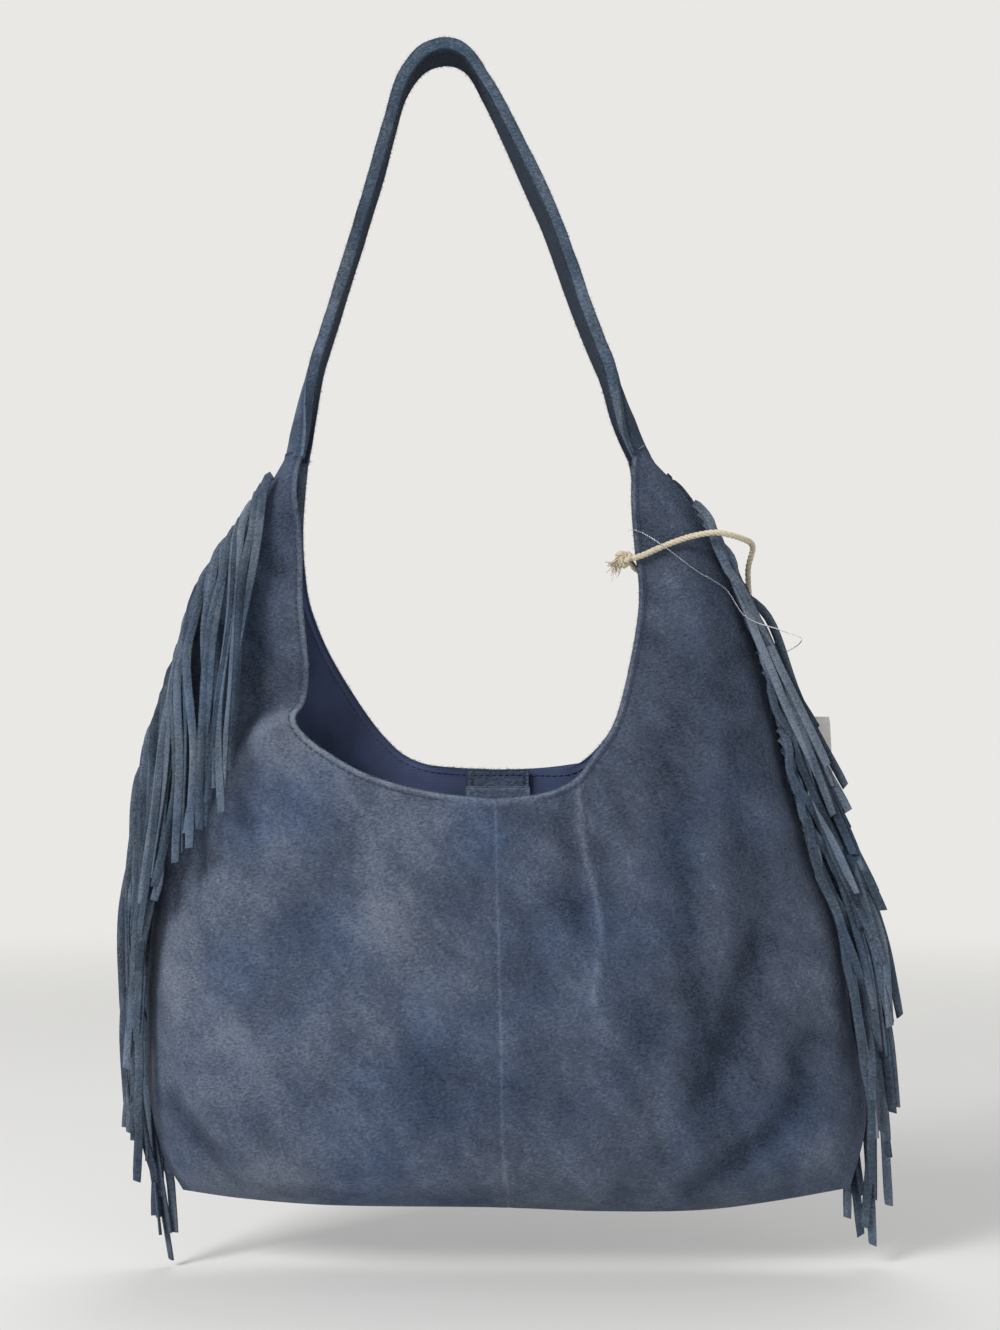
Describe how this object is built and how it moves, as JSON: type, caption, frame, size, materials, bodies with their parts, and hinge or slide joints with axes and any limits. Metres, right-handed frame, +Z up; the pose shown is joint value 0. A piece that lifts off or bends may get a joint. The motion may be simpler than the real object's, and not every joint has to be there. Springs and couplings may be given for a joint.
{
  "type": "fringed suede shoulder bag",
  "caption": "Soft slouchy suede shoulder bag hanging by its folded strap, with a scooped open mouth, a cloth lining, a snap closure and long comb-cut fringe down both side seams.",
  "frame": {"origin": "the point under the top of the strap on which the hanging bag bears", "axes": "+Z up as the bag hangs, +X to the right as seen from the front, +Y from the front to the back"},
  "size_m": [0.4592, 0.0713, 0.6603],
  "materials": {
    "suede": "napped suede, matt, blue-grey",
    "lining_cloth": "plain-woven cotton, navy",
    "snap_metal": "worn nickel plate",
    "cotton_twine": "three-strand cotton twine, undyed",
    "clear_thread": "clear nylon thread",
    "white_card": "plain uncoated card",
    "black_card": "plain black card"
  },
  "bodies": {
    "root": {"front_panel_left": "suede", "front_panel_right": "suede", "back_panel_left": "suede", "back_panel_right": "suede", "strap": "suede", "fringe_left": "suede", "fringe_right": "suede", "snap_patch_front": "suede", "snap_patch_back": "suede", "lining_front": "lining_cloth", "lining_back": "lining_cloth", "snap_stud": "snap_metal", "snap_socket": "snap_metal", "tag_twine": "cotton_twine", "tag_thread": "clear_thread", "white_tag_card": "white_card", "black_tag_card": "black_card"}
  },
  "joints": []
}
